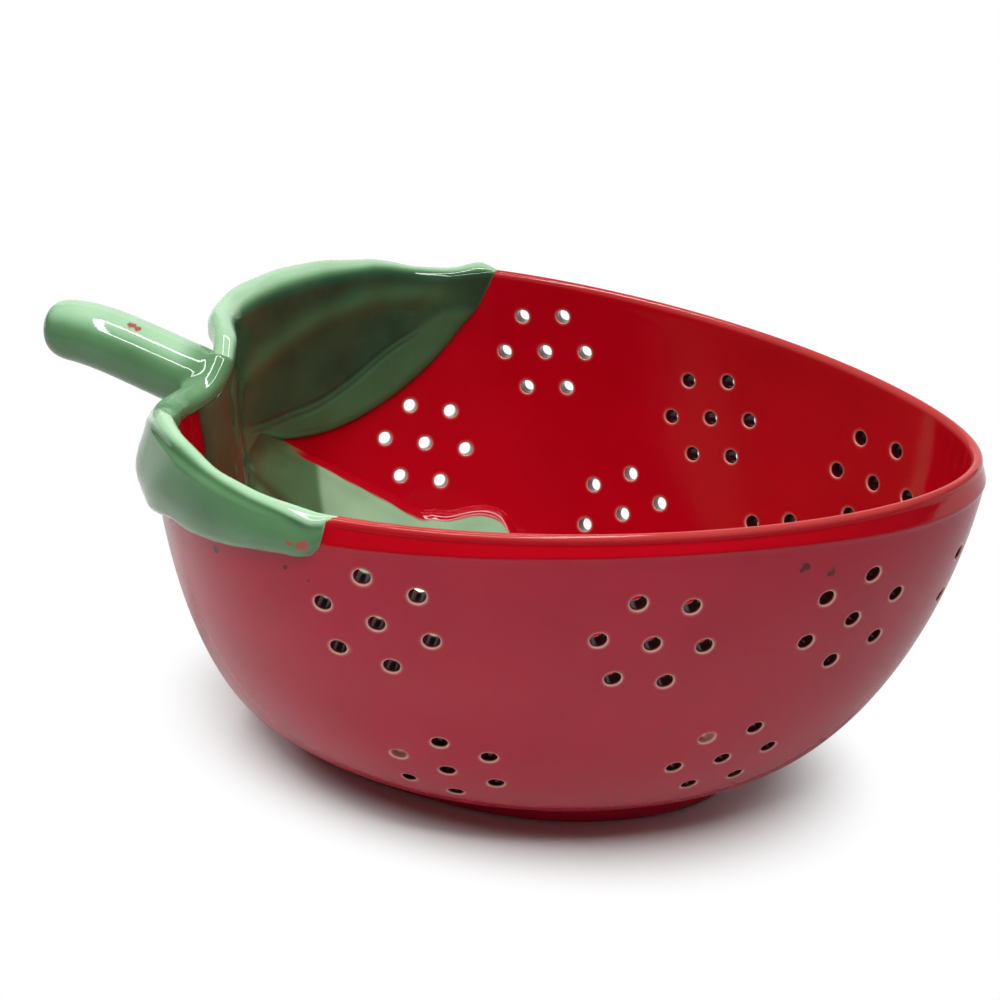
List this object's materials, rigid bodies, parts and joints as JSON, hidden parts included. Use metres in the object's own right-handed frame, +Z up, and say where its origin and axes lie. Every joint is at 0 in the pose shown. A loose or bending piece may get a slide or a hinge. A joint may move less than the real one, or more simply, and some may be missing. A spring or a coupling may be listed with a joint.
{
  "type": "berry colander bowl",
  "caption": "Glazed ceramic berry colander in the form of a strawberry, with a stem handle, leaves over the rim, clusters of drain holes and a foot ring.",
  "frame": {"origin": "centre of the overall box, on the plane the foot ring stands on", "axes": "+X from the stem to the tip of the fruit, +Y across the bowl to its back leaf, +Z up"},
  "size_m": [0.269, 0.1849, 0.1245],
  "materials": {
    "red_glaze": "glossy crimson glaze",
    "foot_glaze": "dark crimson glaze, thin on the foot",
    "stem_glaze": "glossy mint green glaze",
    "leaf_glaze": "glossy green glaze, paler on the edges"
  },
  "bodies": {
    "root": {"bowl_shell": "red_glaze", "foot_ring": "foot_glaze", "stem_handle": "stem_glaze", "back_leaf": "leaf_glaze", "front_leaf": "leaf_glaze", "centre_leaf": "leaf_glaze"}
  },
  "joints": []
}
